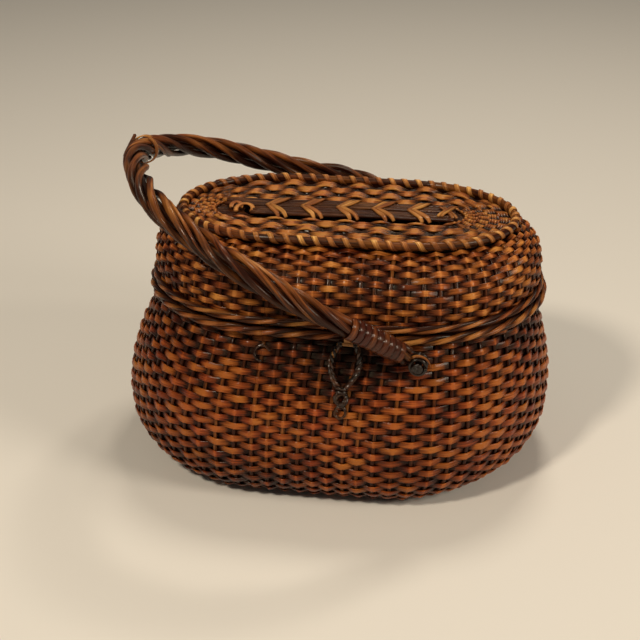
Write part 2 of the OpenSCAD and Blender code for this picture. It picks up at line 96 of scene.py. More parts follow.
def oval(u, a, b, z, shift=0.0, run=RUN):
    """Points of the plan at a height, moved to the right by shift."""
    x, y = plan(u, a, b, run)
    return np.stack([x + shift, y, z + 0 * x], -1)


def stations(per):
    """All the way round, with so many points to a stake."""
    return np.arange(STATIONS * per) / per


def lean(z):
    return LEAN * (np.minimum(z, MOUTH_Z) / MOUTH_Z) ** 2


def bezier(p, t):
    return p[0] * (1 - t) ** 3 + 3 * p[1] * t * (1 - t) ** 2 + 3 * p[2] * t ** 2 * (1 - t) + p[3] * t ** 3


def body_outline(t):
    """Half length, half depth and height of the body: a rounded lower half, a closing upper half."""
    w = np.radians(90 * np.clip(t / 0.5, 0, 1))
    out = np.sin(w) ** (2 / BASE_TURN)
    up = 1 - np.clip(np.cos(w), 0, 1) ** (2 / BASE_TURN)
    v = np.clip((t - 0.5) / 0.5, 0, 1)
    close = 1 - np.cos(np.radians(90 * v))
    low = t < 0.5
    a = np.where(low, BASE_A + (BELLY_A - BASE_A) * out, BELLY_A + (MOUTH_A - BELLY_A) * close)
    b = np.where(low, BASE_B + (BELLY_B - BASE_B) * out, BELLY_B + (MOUTH_B - BELLY_B) * close)
    z = np.where(low, BELLY_Z * up, BELLY_Z + (MOUTH_Z - BELLY_Z) * v)
    return a, b, z


def lid_outline(t):
    """The same for the lid wall, from its lower edge to its top edge."""
    a = bezier([EDGE_A, EDGE_A + LID_SWELL, EDGE_A + LID_SWELL / 2, TOP_A], t)
    b = bezier([EDGE_B, EDGE_B, EDGE_B - 10, TOP_B], t)
    z = LID_Z + bezier([0, 0.38 * LID_H, 0.87 * LID_H, LID_H], t)
    return a, b, z


def on_skin(outline, u, t):
    a, b, z = outline(t)
    return oval(u, a, b, z, lean(z))


def unit(v):
    return v / np.maximum(np.linalg.norm(v, axis=-1, keepdims=True), 1e-9)


def skin_normal(outline, u, t):
    """Outward and upward directions of a wall."""
    du, dt = 0.05, 0.004
    below, above = np.clip(t - dt, 0.001, 1), np.clip(t + dt, 0, 1)
    along = on_skin(outline, u + du, t) - on_skin(outline, u - du, t)
    upward = on_skin(outline, u, above) - on_skin(outline, u, below)
    return unit(np.cross(along, upward)), unit(upward)


def even_levels(outline, count, start, end):
    """Levels at equal distances along the profile of the front."""
    t = np.linspace(0, 1, 400)
    _, b, z = outline(t)
    length = np.concatenate([[0], np.cumsum(np.hypot(np.diff(b), np.diff(z)))])
    return np.interp(np.linspace(start, length[-1] - end, count), length, t)


def even_ring(a, b, z, step):
    """Closed level line round the plan with even steps."""
    dense_count = 2800
    dense = oval(np.arange(dense_count) * STATIONS / dense_count, a, b, z, lean(z))
    closed = np.concatenate([dense, dense[:1]])
    run = np.concatenate([[0], np.cumsum(np.linalg.norm(np.diff(closed, axis=0), axis=1))])
    n = int(round(run[-1] / step))
    at = np.arange(n) * run[-1] / n
    return np.stack([np.interp(at, run, closed[:, k]) for k in range(3)], -1)


def around(line):
    """Outward and upward directions along a closed level line."""
    t = unit(np.roll(line, -1, 0) - np.roll(line, 1, 0))
    up = np.array([0, 0, 1.0])
    out = unit(np.cross(t, up))
    return out, np.broadcast_to(up, out.shape)


def wander(n, size, waves=(3, 5, 9, 14)):
    """A slow closed random line, as hand work has."""
    s = np.arange(n) / n * 2 * math.pi
    return size * sum(math.sqrt(3 / w) * np.sin(w * s + dice.uniform(0, 6.3)) for w in waves) / 2


def circle(turns, radius=1.0):
    """Across and along parts of a round path, for turns counted from the right."""
    angle = 2 * math.pi * turns
    return radius * np.cos(angle), radius * np.sin(angle)


# Strands


def flat_section(half_thick, half_wide, square=0.55, count=8):
    """Section of a split cane: thickness first, width second."""
    out = []
    for j in range(count):
        g = 2 * math.pi * (j + 0.5) / count
        c, s = math.cos(g), math.sin(g)
        thick = half_thick * math.copysign(abs(c) ** square, c)
        out.append((thick, half_wide * math.copysign(abs(s) ** square, s)))
    return out


def round_section(radius, count=8):
    angles = [2 * math.pi * j / count for j in range(count)]
    return [(radius * math.cos(g), radius * math.sin(g)) for g in angles]


class Strand:
    """One cane: its middle line, the way its flat side faces, and its lift, mostly how far it lies outside or
    faces up, which the finishes paint as light and shade.
    """

    def __init__(self, line, facing, lift=0.5, swell=1.0):
        self.line = np.asarray(line, float)
        n = len(self.line)
        self.facing = np.broadcast_to(np.asarray(facing, float), (n, 3))
        self.lift = np.broadcast_to(np.asarray(lift, float), (n,))
        self.swell = np.broadcast_to(np.asarray(swell, float), (n,))
        self.seed = dice.random()

    def rings(self, section, closed):
        """The section at every point of the line."""
        p = self.line
        t = unit(np.roll(p, -1, 0) - np.roll(p, 1, 0) if closed else np.gradient(p, axis=0))
        out = unit(self.facing - t * (self.facing * t).sum(1, keepdims=True))
        side = np.cross(t, out)
        k = self.swell[:, None, None]
        ringed = p[:, None] + k * (out[:, None] * section[None, :, :1] + side[:, None] * section[None, :, 1:])
        return ringed.reshape(-1, 3)

    def marks(self, section):
        """Length run, seed, place across and lift, which the finishes read."""
        run = np.concatenate([[0], np.cumsum(np.linalg.norm(np.diff(self.line, axis=0), axis=1))])
        mark = np.zeros((len(self.line), len(section), 4))
        mark[:, :, 0] = run[:, None] / PER_METRE
        mark[:, :, 1] = self.seed
        mark[:, :, 2] = section[None, :, 1] / max(1e-6, np.abs(section[:, 1]).max()) * 0.5 + 0.5
        mark[:, :, 3] = self.lift[:, None]
        return mark.reshape(-1, 4)


def link_object(thing):
    bpy.context.scene.collection.objects.link(thing)


def bevelled_mesh(name, strands, section, closed):
    """Mesh of curves with the section as their bevel."""
    holder = bpy.data.curves.new(name + "_section", "CURVE")
    holder.dimensions = "2D"
    ring = holder.splines.new("POLY")
    ring.points.add(len(section) - 1)
    for point, (p, q) in zip(ring.points, section):
        point.co = (p / PER_METRE, q / PER_METRE, 0, 1)
    ring.use_cyclic_u = True
    ring_object = bpy.data.objects.new(name + "_section", holder)
    curve = bpy.data.curves.new(name + "_line", "CURVE")
    curve.dimensions = "3D"
    curve.bevel_mode = "OBJECT"
    curve.bevel_object = ring_object
    for s in strands:
        spline = curve.splines.new("POLY")
        n = len(s.line)
        spline.points.add(n - 1)
        places = np.concatenate([s.line / PER_METRE, np.ones((n, 1))], 1)
        spline.points.foreach_set("co", places.ravel())
        spline.use_cyclic_u = closed
    line_object = bpy.data.objects.new(name + "_line", curve)
    link_object(ring_object)
    link_object(line_object)
    graph = bpy.context.evaluated_depsgraph_get()
    mesh = bpy.data.meshes.new_from_object(line_object.evaluated_get(graph))
    mesh.name = name
    bpy.data.objects.remove(line_object)
    bpy.data.objects.remove(ring_object)
    return mesh


def lay_strands(name, strands, section, material, body, nodes=(), closed=False):
    """One piece of many strands, whose rings face the way each strand says."""
    mesh = bevelled_mesh(name, strands, section, closed)
    corners = np.array(section)
    places = np.concatenate([s.rings(corners, closed) for s in strands])
    marks = np.concatenate([s.marks(corners) for s in strands])
    if len(mesh.vertices) != len(places):
        raise RuntimeError(f"{name}: {len(mesh.vertices)} vertices, {len(places)} expected")
    mesh.vertices.foreach_set("co", (places / PER_METRE).ravel())
    strand_mark = mesh.attributes.new("strand", "FLOAT_COLOR", "POINT")
    strand_mark.data.foreach_set("color", marks.ravel())
    work = bmesh.new()
    work.from_mesh(mesh)
    if not closed:
        bmesh.ops.holes_fill(work, edges=[e for e in work.edges if e.is_boundary], sides=0)
    bmesh.ops.recalc_face_normals(work, faces=work.faces[:])
    for f in work.faces:
        f.smooth = len(f.verts) == 4
    work.to_mesh(mesh)
    work.free()
    mesh.materials.clear()
    mesh.materials.append(material)
    piece = bpy.data.objects.new(name, mesh)
    link_object(piece)
    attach(piece, body)
    if nodes:
        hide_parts(*nodes)


# Finishes

# Scale of the patterns along a strand, and how far apart two strands lie in them
FIBRES_ALONG, FIBRE_SEEDS, FIBRES_ACROSS = 45.0, 61.0, 7.0
DRIFTS_ALONG, DRIFT_SEEDS = 34.0, 97.0
SOLID_FIBRES, SOLID_DRIFTS = (60, 420, 420), (40, 90, 90)
PATCHES_A_METRE = 22.0
# Shares of each pattern in the tone, with the worn crest and its painted highlight, and painted shade at the
# strand edges
DRIFT_SHARE, FIBRE_SHARE, PATCH_SHARE, CREST_SHARE, EDGE_SHADE_SHARE = 0.32, 0.30, 0.14, 0.24, 0.25
# Tone by height: metres over the base, tone. The dip just under the rope is painted shade
BAND_TOP, BAND_ENDS = 0.22, (0.25, 0.55)
BAND_TONES = ((0.03, 0.5), (0.06, 0.85), (0.088, 0.75), (0.104, 0.38), (0.119, 0.12), (0.132, 0.3),
              (0.15, 0.55), (0.168, 0.75))
# Painted shadow round the latch: its middle, where it starts and where it is darkest
LATCH_SHADOW_PLACE = (LATCH_X / PER_METRE, LATCH_Y / PER_METRE, 0.104)
LATCH_SHADOW_EDGE, LATCH_SHADOW_HEART = 0.036, 0.010
# Tones at which the colours stand, and how much brighter the worn crest with its painted highlight is
DARK_TONE, MIDDLE_TONE, LIGHT_TONE, CREST_TONE = 0.12, 0.54, 0.84, 1.0
CREST_GAIN = (1.8, 2.3, 3.0)


class Nodes:
    """Short calls for the shader nodes of one material."""

    def __init__(self, material):
        material.use_nodes = True
        self.tree = material.node_tree
        self.shader = self.tree.nodes["Principled BSDF"]

    def add(self, kind, **values):
        node = self.tree.nodes.new(kind)
        for key, value in values.items():
            setattr(node, key, value)
        return node

    def link(self, a, b):
        self.tree.links.new(a, b)

    def math(self, operation, *values):
        node = self.add("ShaderNodeMath", operation=operation)
        for socket, value in zip(node.inputs, values):
            if isinstance(value, (int, float)):
                socket.default_value = value
            else:
                self.link(value, socket)
        return node.outputs[0]

    def stretched(self, value, low, high):
        node = self.add("ShaderNodeMapRange")
        self.link(value, node.inputs["Value"])
        node.inputs["From Min"].default_value = low
        node.inputs["From Max"].default_value = high
        return node.outputs[0]

    def noise(self, vector, scale, detail):
        node = self.add("ShaderNodeTexNoise")
        node.inputs["Scale"].default_value = scale
        node.inputs["Detail"].default_value = detail
        self.link(vector, node.inputs["Vector"])
        return node.outputs[0]

    def scaled(self, vector, scale):
        node = self.add("ShaderNodeMapping")
        node.inputs["Scale"].default_value = scale
        self.link(vector, node.inputs["Vector"])
        return node.outputs[0]

    def joined(self, *values):
        node = self.add("ShaderNodeCombineXYZ")
        for value, socket in zip(values, node.inputs):
            self.link(value, socket)
        return node.outputs[0]


def strand_pattern(nodes):
    """Where the fibres and drifts of a strand are, its lift, and the distance from its middle."""
    mark = nodes.add("ShaderNodeAttribute", attribute_name="strand")
    parts = nodes.add("ShaderNodeSeparateColor")
    nodes.link(mark.outputs["Color"], parts.inputs[0])
    along, seed, across = parts.outputs
    fibre_at = nodes.joined(nodes.math("MULTIPLY", along, FIBRES_ALONG),
                            nodes.math("MULTIPLY", seed, FIBRE_SEEDS),
                            nodes.math("MULTIPLY", across, FIBRES_ACROSS))
    drift_at = nodes.joined(nodes.math("MULTIPLY", along, DRIFTS_ALONG),
                            nodes.math("MULTIPLY", seed, DRIFT_SEEDS))
    edge = nodes.math("ABSOLUTE", nodes.math("SUBTRACT", across, 0.5))
    return fibre_at, drift_at, mark.outputs["Alpha"], edge


def solid_pattern(nodes, place):
    """The same for a solid that is not laid as strands."""
    plain_lift, plain_edge = 0.5, 0.2
    return nodes.scaled(place, SOLID_FIBRES), nodes.scaled(place, SOLID_DRIFTS), plain_lift, plain_edge


def height_band(nodes, place):
    """Tone by height over the base, with painted shade just under the rope."""
    height = nodes.add("ShaderNodeSeparateXYZ")
    nodes.link(place, height.inputs[0])
    bands = nodes.add("ShaderNodeFloatCurve")
    nodes.link(nodes.math("DIVIDE", height.outputs[2], BAND_TOP), bands.inputs["Value"])
    line = bands.mapping.curves[0]
    for k, value in enumerate(BAND_ENDS):
        line.points[k].location = (float(k), value)
    for z, value in BAND_TONES:
        line.points.new(z / BAND_TOP, value)
    bands.mapping.update()
    return bands.outputs[0]


def shaded_at_latch(nodes, place, latch_shadow, tone):
    """Painted shadow round the latch, darker towards it."""
    reach = nodes.add("ShaderNodeVectorMath", operation="DISTANCE")
    nodes.link(place, reach.inputs[0])
    reach.inputs[1].default_value = LATCH_SHADOW_PLACE
    near = nodes.stretched(reach.outputs["Value"], LATCH_SHADOW_EDGE, LATCH_SHADOW_HEART)
    return nodes.math("MULTIPLY_ADD", near, -latch_shadow, tone)


def toned_colour(nodes, tone, dark, middle, light):
    """Colour that belongs to a tone, up to the worn crest with its painted highlight."""
    ramp = nodes.add("ShaderNodeValToRGB")
    nodes.link(tone, ramp.inputs[0])
    stops = ramp.color_ramp.elements
    crest = [gain * part for gain, part in zip(CREST_GAIN, light)]
    stops[0].position = DARK_TONE
    stops[0].color = (*dark, 1)
    stops[1].position = CREST_TONE
    stops[1].color = (*crest, 1)
    stops.new(LIGHT_TONE).color = (*light, 1)
    stops.new(MIDDLE_TONE).color = (*middle, 1)
    return ramp.outputs[0]


def cane_finish(name, dark, middle, light, rough=0.42, coat=0.20, bump=0.6, lift_share=0.40, band_share=0.2,
                latch_shadow=0.0, hollow_shade=0.0, follow=True):
    """Varnished cane: fibres along the strand, tones that drift, painted light and shade by lift, a worn
    crest with a painted highlight, and painted shade in the hollows and at the edges.
    """
    material = bpy.data.materials.new(name)
    nodes = Nodes(material)
    shader = nodes.shader
    shader.inputs["Coat Weight"].default_value = coat
    shader.inputs["Coat Roughness"].default_value = 0.16
    shader.inputs["Specular IOR Level"].default_value = 0.16
    shader.inputs["Specular Tint"].default_value = (1.0, 0.78, 0.55, 1)

    place = nodes.add("ShaderNodeTexCoord").outputs["Object"]
    fibre_at, drift_at, lift, edge = strand_pattern(nodes) if follow else solid_pattern(nodes, place)
    fibres = nodes.stretched(nodes.noise(fibre_at, 1.0, 5.0), 0.3, 0.7)
    drifts = nodes.stretched(nodes.noise(drift_at, 1.0, 2.0), 0.3, 0.7)
    patches = nodes.stretched(nodes.noise(place, PATCHES_A_METRE, 2.0), 0.35, 0.65)

    tone = nodes.math("MULTIPLY", drifts, DRIFT_SHARE)
    tone = nodes.math("MULTIPLY_ADD", fibres, FIBRE_SHARE, tone)
    tone = nodes.math("MULTIPLY_ADD", patches, PATCH_SHARE, tone)
    # Tone by height, with painted shade under the rope
    tone = nodes.math("MULTIPLY_ADD", height_band(nodes, place), band_share, tone)
    # Painted light and shade by lift: raised and upward parts lighter, sunk and downward parts darker
    tone = nodes.math("MULTIPLY_ADD", nodes.math("POWER", lift, 1.4), lift_share, tone)
    # Worn crest with a painted highlight, on the most lifted parts of a strand
    if follow:
        tone = nodes.math("MULTIPLY_ADD", nodes.stretched(lift, 0.86, 1.0), CREST_SHARE, tone)
    # Painted shade on the sunk parts of a strand, behind the stakes and deep in the wall
    if hollow_shade:
        tone = nodes.math("MULTIPLY_ADD", nodes.stretched(lift, 0.46, 0.10), -hollow_shade, tone)
    # Painted shadow round the latch
    if latch_shadow:
        tone = shaded_at_latch(nodes, place, latch_shadow, tone)
    # Painted shade at the edges of every strand, where strands meet
    tone = nodes.math("SUBTRACT", tone, nodes.math("MULTIPLY", edge, EDGE_SHADE_SHARE))

    warm = nodes.add("ShaderNodeHueSaturation")
    nodes.link(nodes.math("MULTIPLY_ADD", drifts, 0.020, 0.488), warm.inputs["Hue"])
    nodes.link(toned_colour(nodes, tone, dark, middle, light), warm.inputs["Color"])
    nodes.link(warm.outputs[0], shader.inputs["Base Color"])
    nodes.link(nodes.math("MULTIPLY_ADD", fibres, 0.2, rough - 0.1), shader.inputs["Roughness"])
    relief = nodes.add("ShaderNodeBump")
    relief.inputs["Strength"].default_value = bump
    relief.inputs["Distance"].default_value = 0.0004
    nodes.link(fibres, relief.inputs["Height"])
    nodes.link(relief.outputs[0], shader.inputs["Normal"])
    return material


weaver_cane = cane_finish("weaver_cane", (0.002, 0.0004, 0.0002), (0.021, 0.0025, 0.0004),
                          (0.205, 0.043, 0.006), lift_share=0.46, band_share=0.27, latch_shadow=0.3, hollow_shade=0.34)
lid_cane = cane_finish("lid_cane", (0.004, 0.001, 0.0005), (0.038, 0.0064, 0.001), (0.28, 0.078, 0.0132),
                       coat=0.12, lift_share=0.44, hollow_shade=0.28)
stake_cane = cane_finish("stake_cane", (0.006, 0.0015, 0.0006), (0.030, 0.0056, 0.0011), (0.24, 0.070, 0.015),
                         coat=0.18, lift_share=0.2)
top_cane = cane_finish("top_cane", (0.004, 0.0011, 0.0005), (0.026, 0.0052, 0.001), (0.26, 0.078, 0.014),
                       lift_share=0.50, hollow_shade=0.22)
rim_cane = cane_finish("rim_cane", (0.005, 0.0015, 0.0007), (0.026, 0.0054, 0.0014), (0.19, 0.054, 0.0105))
light_cane = cane_finish("light_cane", (0.030, 0.008, 0.002), (0.15, 0.047, 0.010), (0.44, 0.18, 0.045))
# Near-black cane; on the pivot its darkness is painted shade
dark_cane = cane_finish("dark_cane", (0.002, 0.0008, 0.0005), (0.006, 0.0018, 0.0009), (0.06, 0.018, 0.0055),
                        rough=0.32, coat=0.6)
dark_slat = cane_finish("dark_slat", (0.010, 0.003, 0.0015), (0.036, 0.010, 0.0038), (0.17, 0.058, 0.017),
                        rough=0.36, coat=0.3)
vine_bark = cane_finish("vine_bark", (0.005, 0.0015, 0.0008), (0.024, 0.0056, 0.0018), (0.22, 0.066, 0.015),
                        rough=0.4, bump=0.9)
splint_red = cane_finish("splint_red", (0.012, 0.0025, 0.001), (0.054, 0.0098, 0.0024), (0.20, 0.054, 0.012),
                         rough=0.36, coat=0.4)
solid_dark = cane_finish("solid_dark", (0.008, 0.003, 0.002), (0.030, 0.009, 0.004), (0.10, 0.034, 0.013),
                         follow=False)
solid_stick = cane_finish("solid_stick", (0.05, 0.018, 0.007), (0.19, 0.075, 0.024), (0.45, 0.23, 0.085),
                          follow=False)
solid_light = cane_finish("solid_light", (0.12, 0.045, 0.014), (0.36, 0.165, 0.055), (0.60, 0.34, 0.14),
                          follow=False)

# Woven walls

WEAVER_HALF = 2.2
WEAVER_SECTION = flat_section(0.5, WEAVER_HALF, 0.6)
WEAVER_POINTS, ROW_POINTS = 5, 4
SHARP_BEND, ROUND_BEND = 0.7, 0.3
WIDER_INSIDE = 0.62
BODY_ROWS, LID_ROWS = 31, 14
BODY_PLAIN, BODY_PLAIN_DEPTH = (0.84, 0.87, 0.90, 0.93, 0.96, 0.985), 4.2
LID_PLAIN, LID_PLAIN_DEPTH = (0.03, 0.96, 0.995), 3.4
STAKE_DEPTH = 1.9


def weave(outline, levels, depth, over, droop):
    """Rows of flat weavers, as wide as their spacing, that pass in front of every other stake."""
    rows = []
    u = stations(WEAVER_POINTS)
    n = len(u)
    last = len(levels) - 1
    for k, t in enumerate(levels):
        low, high = max(k - 1, 0), min(k + 1, last)
        above, below = on_skin(outline, u, levels[high] + 0 * u), on_skin(outline, u, levels[low] + 0 * u)
        pitch = np.linalg.norm(above - below, axis=-1) / (high - low)
        wave = np.cos(math.pi * (u + dice.uniform(-0.08, 0.08) + wander(n, 0.04) + k))
        bend = 1 - 2 * np.arccos(wave) / math.pi
        wave = SHARP_BEND * bend + ROUND_BEND * wave
        strokes = np.repeat([dice.uniform(0.70, 1.15) for _ in range(STATIONS)], WEAVER_POINTS)
        level = np.full(n, t)
        out, upward = skin_normal(outline, u, level)
        line = on_skin(outline, u, level) + out * (over * wave * strokes - depth)[:, None]
        line = line + upward * (wander(n, 0.50, (5, 9, 16, 27, 41)) - droop * np.clip(wave, 0, 1))[:, None]
        swell = 1.02 * pitch / (2 * WEAVER_HALF) * (1 + wander(n, 0.15, (13, 21, 33, 52)))
        swell = swell * (1 + WIDER_INSIDE * np.clip(-wave, 0, 1))
        facing = out + upward * wander(n, 0.06)[:, None]
        # The lift paints a highlight where a weaver passes over a stake and shade where it passes behind
        rows.append(Strand(line, facing, lift=0.5 + 0.5 * wave * np.clip(strokes, 0, 1), swell=swell))
    return rows


def plain_row(outline, t, depth):
    """A weaver that runs behind every stake, with a low lift for painted shade."""
    u = stations(ROW_POINTS)
    level = np.full(len(u), t)
    out, _ = skin_normal(outline, u, level)
    return Strand(on_skin(outline, u, level) - out * depth, out, lift=0.1)


def seat_row():
    """The last weaver of the lid wall, upright under the rim rod, with a low lift for painted shade."""
    u = stations(ROW_POINTS)
    out, _ = skin_normal(lid_outline, u, np.full(len(u), 0.99))
    inset, rise = 0.8, 0.4
    return Strand(oval(u, RIM_A - inset, RIM_B - inset, TOP_Z + rise, LEAN), unit(out * (1, 1, 0)), lift=0.1)


def stakes(outline, count, top):
    """Stakes between the weavers, one at each station."""
    standing = []
    t = np.linspace(0.0, top, count)
    for i in range(STATIONS):
        u = np.full(count, float(i)) + dice.uniform(-0.05, 0.05)
        out, _ = skin_normal(outline, u, t)
        standing.append(Strand(on_skin(outline, u, t) - out * STAKE_DEPTH, out, lift=dice.uniform(0.2, 0.7)))
    return standing


body_levels = even_levels(body_outline, BODY_ROWS, start=2.2, end=2.2)
body_rows = weave(body_outline, body_levels, depth=2.2, over=1.75, droop=0.15)
body_rows += [plain_row(body_outline, t, BODY_PLAIN_DEPTH) for t in BODY_PLAIN]
lay_strands("body_weave", body_rows, WEAVER_SECTION, weaver_cane, "basket", ["basket_wall"],
            closed=True)
lay_strands("body_stakes", stakes(body_outline, 18, 1.0), flat_section(0.8, 1.3), stake_cane,
            "basket", ["wall_stakes"])
lid_levels = even_levels(lid_outline, LID_ROWS, start=2.2, end=0.8)
lid_rows = weave(lid_outline, lid_levels, depth=2.1, over=1.7, droop=-0.1)
lid_rows += [plain_row(lid_outline, t, LID_PLAIN_DEPTH) for t in LID_PLAIN]
lid_rows.append(seat_row())
lay_strands("lid_weave", lid_rows, WEAVER_SECTION, lid_cane, "lid", ["lid_wall"], closed=True)
lay_strands("lid_uprights", stakes(lid_outline, 10, 0.99), flat_section(0.8, 1.35), stake_cane,
            "lid", ["lid_stakes"])

# Woven base, seen from below

BASE_ROWS, FINE_ROWS = 15, 7
BASE_PITCH, BASE_FIRST, BASE_Z, BASE_WAVE = 5.0, 2.5, 2.0, 1.2
SPOKE_POINTS, SPOKE_START, SPOKE_END = 8, 1.0, 66.0


def base_row(k):
    """One row of the base. The inner rows pass two stakes at a time."""
    inset = BASE_FIRST + BASE_PITCH * k
    passed = 1 if k < FINE_ROWS else 2
    u = stations(ROW_POINTS)
    wave = np.cos(math.pi * (u / passed + k))
    line = oval(u, BASE_A - inset, BASE_B - inset, BASE_Z - BASE_WAVE * wave)
    # The lift paints a highlight where a row passes outside a stake and shade where it passes inside
    return Strand(line, DOWN, lift=0.5 + 0.5 * wave)


def base_spoke(i):
    """A flat stake from the edge of the base inwards, at station i."""
    inset = np.linspace(SPOKE_START, SPOKE_END, SPOKE_POINTS)
    return Strand(oval(i + 0 * inset, BASE_A - inset, BASE_B - inset, BASE_Z), DOWN)


lay_strands("base_weave", [base_row(k) for k in range(BASE_ROWS)], flat_section(0.6, 2.2), weaver_cane,
            "basket", ["basket_base"], closed=True)
lay_strands("base_spokes", [base_spoke(i) for i in range(0, STATIONS, 2)], flat_section(0.6, 1.5), stake_cane,
            "basket")

# Rods, ropes and the rim lashing

ROPE_TURNS, ROPE_R, ROPE_STRAND_R, ROPE_STEP = 13, 1.62, 1.68, 2.4
BAND_A, BAND_B, BAND_Z = EDGE_A + 2.2, EDGE_B + 1.7, LID_Z + 4.8
BAND_TURNS, BAND_R, BAND_STRAND_R, BAND_SQUASH = 11, 1.5, 1.45, 0.6
LASHING_TURNS, LASHING_R, LASHING_STEP = 60, 2.95, 0.85


def twined(line, radius, turns, squash=1.0, count=3):
    """Strands twisted round one another along a closed line."""
    out, up = around(line)
    n = len(line)
    strands = []
    for k in range(count):
        g = 2 * math.pi * (turns * np.arange(n) / n + k / count) + wander(n, 0.15)
        aside = out * (np.cos(g) * radius * squash)[:, None] + up * (np.sin(g) * radius)[:, None]
        # Painted light and shade: each strand lighter where it faces out, darker where it faces in
        lift = 0.5 + 0.5 * np.cos(g)
        strands.append(Strand(line + aside, unit(aside), lift=lift, swell=1 + wander(n, 0.05)))
    return strands


def rim_lashing():
    """One splint wound round the rim rod."""
    line = even_ring(RIM_A, RIM_B, RIM_Z, LASHING_STEP)
    n = len(line)
    out, up = around(line)
    g = -2 * math.pi * (LASHING_TURNS * np.arange(n) / n) + wander(n, 0.35)
    aside = out * np.cos(g)[:, None] + up * np.sin(g)[:, None]
    # Painted light and shade: the splint lighter on top of the rod and darker beneath
    return Strand(line + aside * LASHING_R, aside, lift=0.45 + 0.45 * np.sin(g))


mouth_rod = Strand(even_ring(BORDER_A, BORDER_B, BORDER_Z, 4), UP)
lay_strands("mouth_rod", [mouth_rod], round_section(BORDER_D / 2, 12), rim_cane, "basket",
            ["mouth_border"], closed=True)
edge_rope = twined(even_ring(ROPE_A, ROPE_B, ROPE_Z, ROPE_STEP), ROPE_R, ROPE_TURNS)
lay_strands("edge_rope", edge_rope, round_section(ROPE_STRAND_R), rim_cane, "lid",
            ["lid_edge_rope"], closed=True)
edge_strands = twined(even_ring(BAND_A, BAND_B, BAND_Z, ROPE_STEP), BAND_R, BAND_TURNS, squash=BAND_SQUASH)
lay_strands("edge_strands", edge_strands, round_section(BAND_STRAND_R), rim_cane, "lid",
            ["lid_edge_band"], closed=True)
rim_line = even_ring(RIM_A, RIM_B, RIM_Z, 3)
rim_rod = Strand(rim_line, UP, swell=1 + wander(len(rim_line), 0.04))
lay_strands("rim_rod", [rim_rod], round_section(2.6, 12), rim_cane, "lid", ["lid_rim_rod"],
            closed=True)
lay_strands("rim_lashing", [rim_lashing()], flat_section(0.4, 1.75), light_cane, "lid",
            closed=True)

# Top of the lid

TOP_ROWS, ROWS_TOGETHER, TOP_POINTS, TOP_INSET = 17, 4, 320, 4.2
HEART_A, HEART_B, HEART_RUN = 87, 17.6, 62
ARCH_PITCH, ARCH_START, ARCH_SWAY, ARCH_RISE = 24.0, 4, 5.2, 2.2
END_PITCH, END_RISE = 9.0, 0.9
RIB_POINTS, RIB_START, RIB_END, RIB_SUNK = 9, 2.0, 42.0, 2.6
SLAT_TURN, SLAT_BACK, SLAT_ASIDE = math.radians(3), 6, 2
SLAT_Y, STRIP_PITCH = 7.3, 4.35
ARROW_LENGTH, ARROW_REACH, ARROW_SPREAD = 11.5, 17.0, 1.3
CROSS_X, CROSS_LEAN, CROSS_REACH, CROSS_PITCH = 73, 5.2, 9.5, 2.4


def on_top(points):
    """Place points given along and across the slats."""
    p = np.asarray(points, float)
    c, s = math.cos(SLAT_TURN), math.sin(SLAT_TURN)
    x = LEAN - SLAT_BACK + c * p[:, 0] - s * p[:, 1]
    return np.stack([x, SLAT_ASIDE + s * p[:, 0] + c * p[:, 1], p[:, 2]], -1)


def top_row(k):
    """Row k from the rim to the slats: long arches at the sides, a tight wave round the ends."""
    share, group = k / (TOP_ROWS - 1), k // ROWS_TOGETHER
    u = np.arange(TOP_POINTS) * STATIONS / TOP_POINTS
    outer = oval(u, RIM_A - TOP_INSET, RIM_B - TOP_INSET, 0, LEAN)
    line = (1 - share) * outer + share * on_top(oval(u, HEART_A, HEART_B, 0, run=HEART_RUN))
    line[:, 2] = PANEL_Z - 0.6 - 0.8 * share
    out, _ = around(line)
    side = np.abs(out[:, 1]) ** 2
    phase = math.pi * (line[:, 0] + ARCH_START) / ARCH_PITCH
    arch = np.abs(np.sin(phase)) ** 0.8
    over = np.sin(phase + math.pi / 2 * (group % 2)) ** 2
    bend = np.sin(2 * math.pi * np.arange(TOP_POINTS) / END_PITCH + math.pi * group)
    line[:, 1] += side * (1 - 0.6 * share ** 3) * ARCH_SWAY * (arch - 0.65)
    line[:, 2] += side * ARCH_RISE * (over - 0.5) + (1 - side) * END_RISE * bend + wander(TOP_POINTS, 0.15)
    # Painted light and shade: raised parts of the row lighter, sunk parts darker
    lift = side * over + (1 - side) * (0.5 + 0.4 * bend)
    return Strand(line, UP, lift=lift, swell=1 + wander(TOP_POINTS, 0.06))


def top_rib(i):
    """A flat stake under the top weave, from the rim inwards, at station i, with a low lift for painted
    shade.
    """
    inset = np.linspace(RIB_START, RIB_END, RIB_POINTS)
    return Strand(oval(i + 0 * inset, RIM_A - inset, RIM_B - inset, PANEL_Z - RIB_SUNK, LEAN), UP, lift=0.2)


def slat(name, x0, x1, y0, node):
    """Three strips side by side."""
    strips = []
    for k in range(3):
        x = np.linspace(x0 + dice.uniform(0, 2), x1 - dice.uniform(0, 2), 30)
        y = y0 + (k - 1) * STRIP_PITCH + 0.25 * np.sin(x / 23 + k)
        z = PANEL_Z + 1.0 + 0.18 * np.sin(x / 12.2 + k) + (0.15 if k == 1 else 0)
        strips.append(Strand(on_top(np.stack([x, y, z], -1)), UP, lift=0.4))
    lay_strands(name, strips, flat_section(0.95, 2.15), dark_slat, "lid", [node])


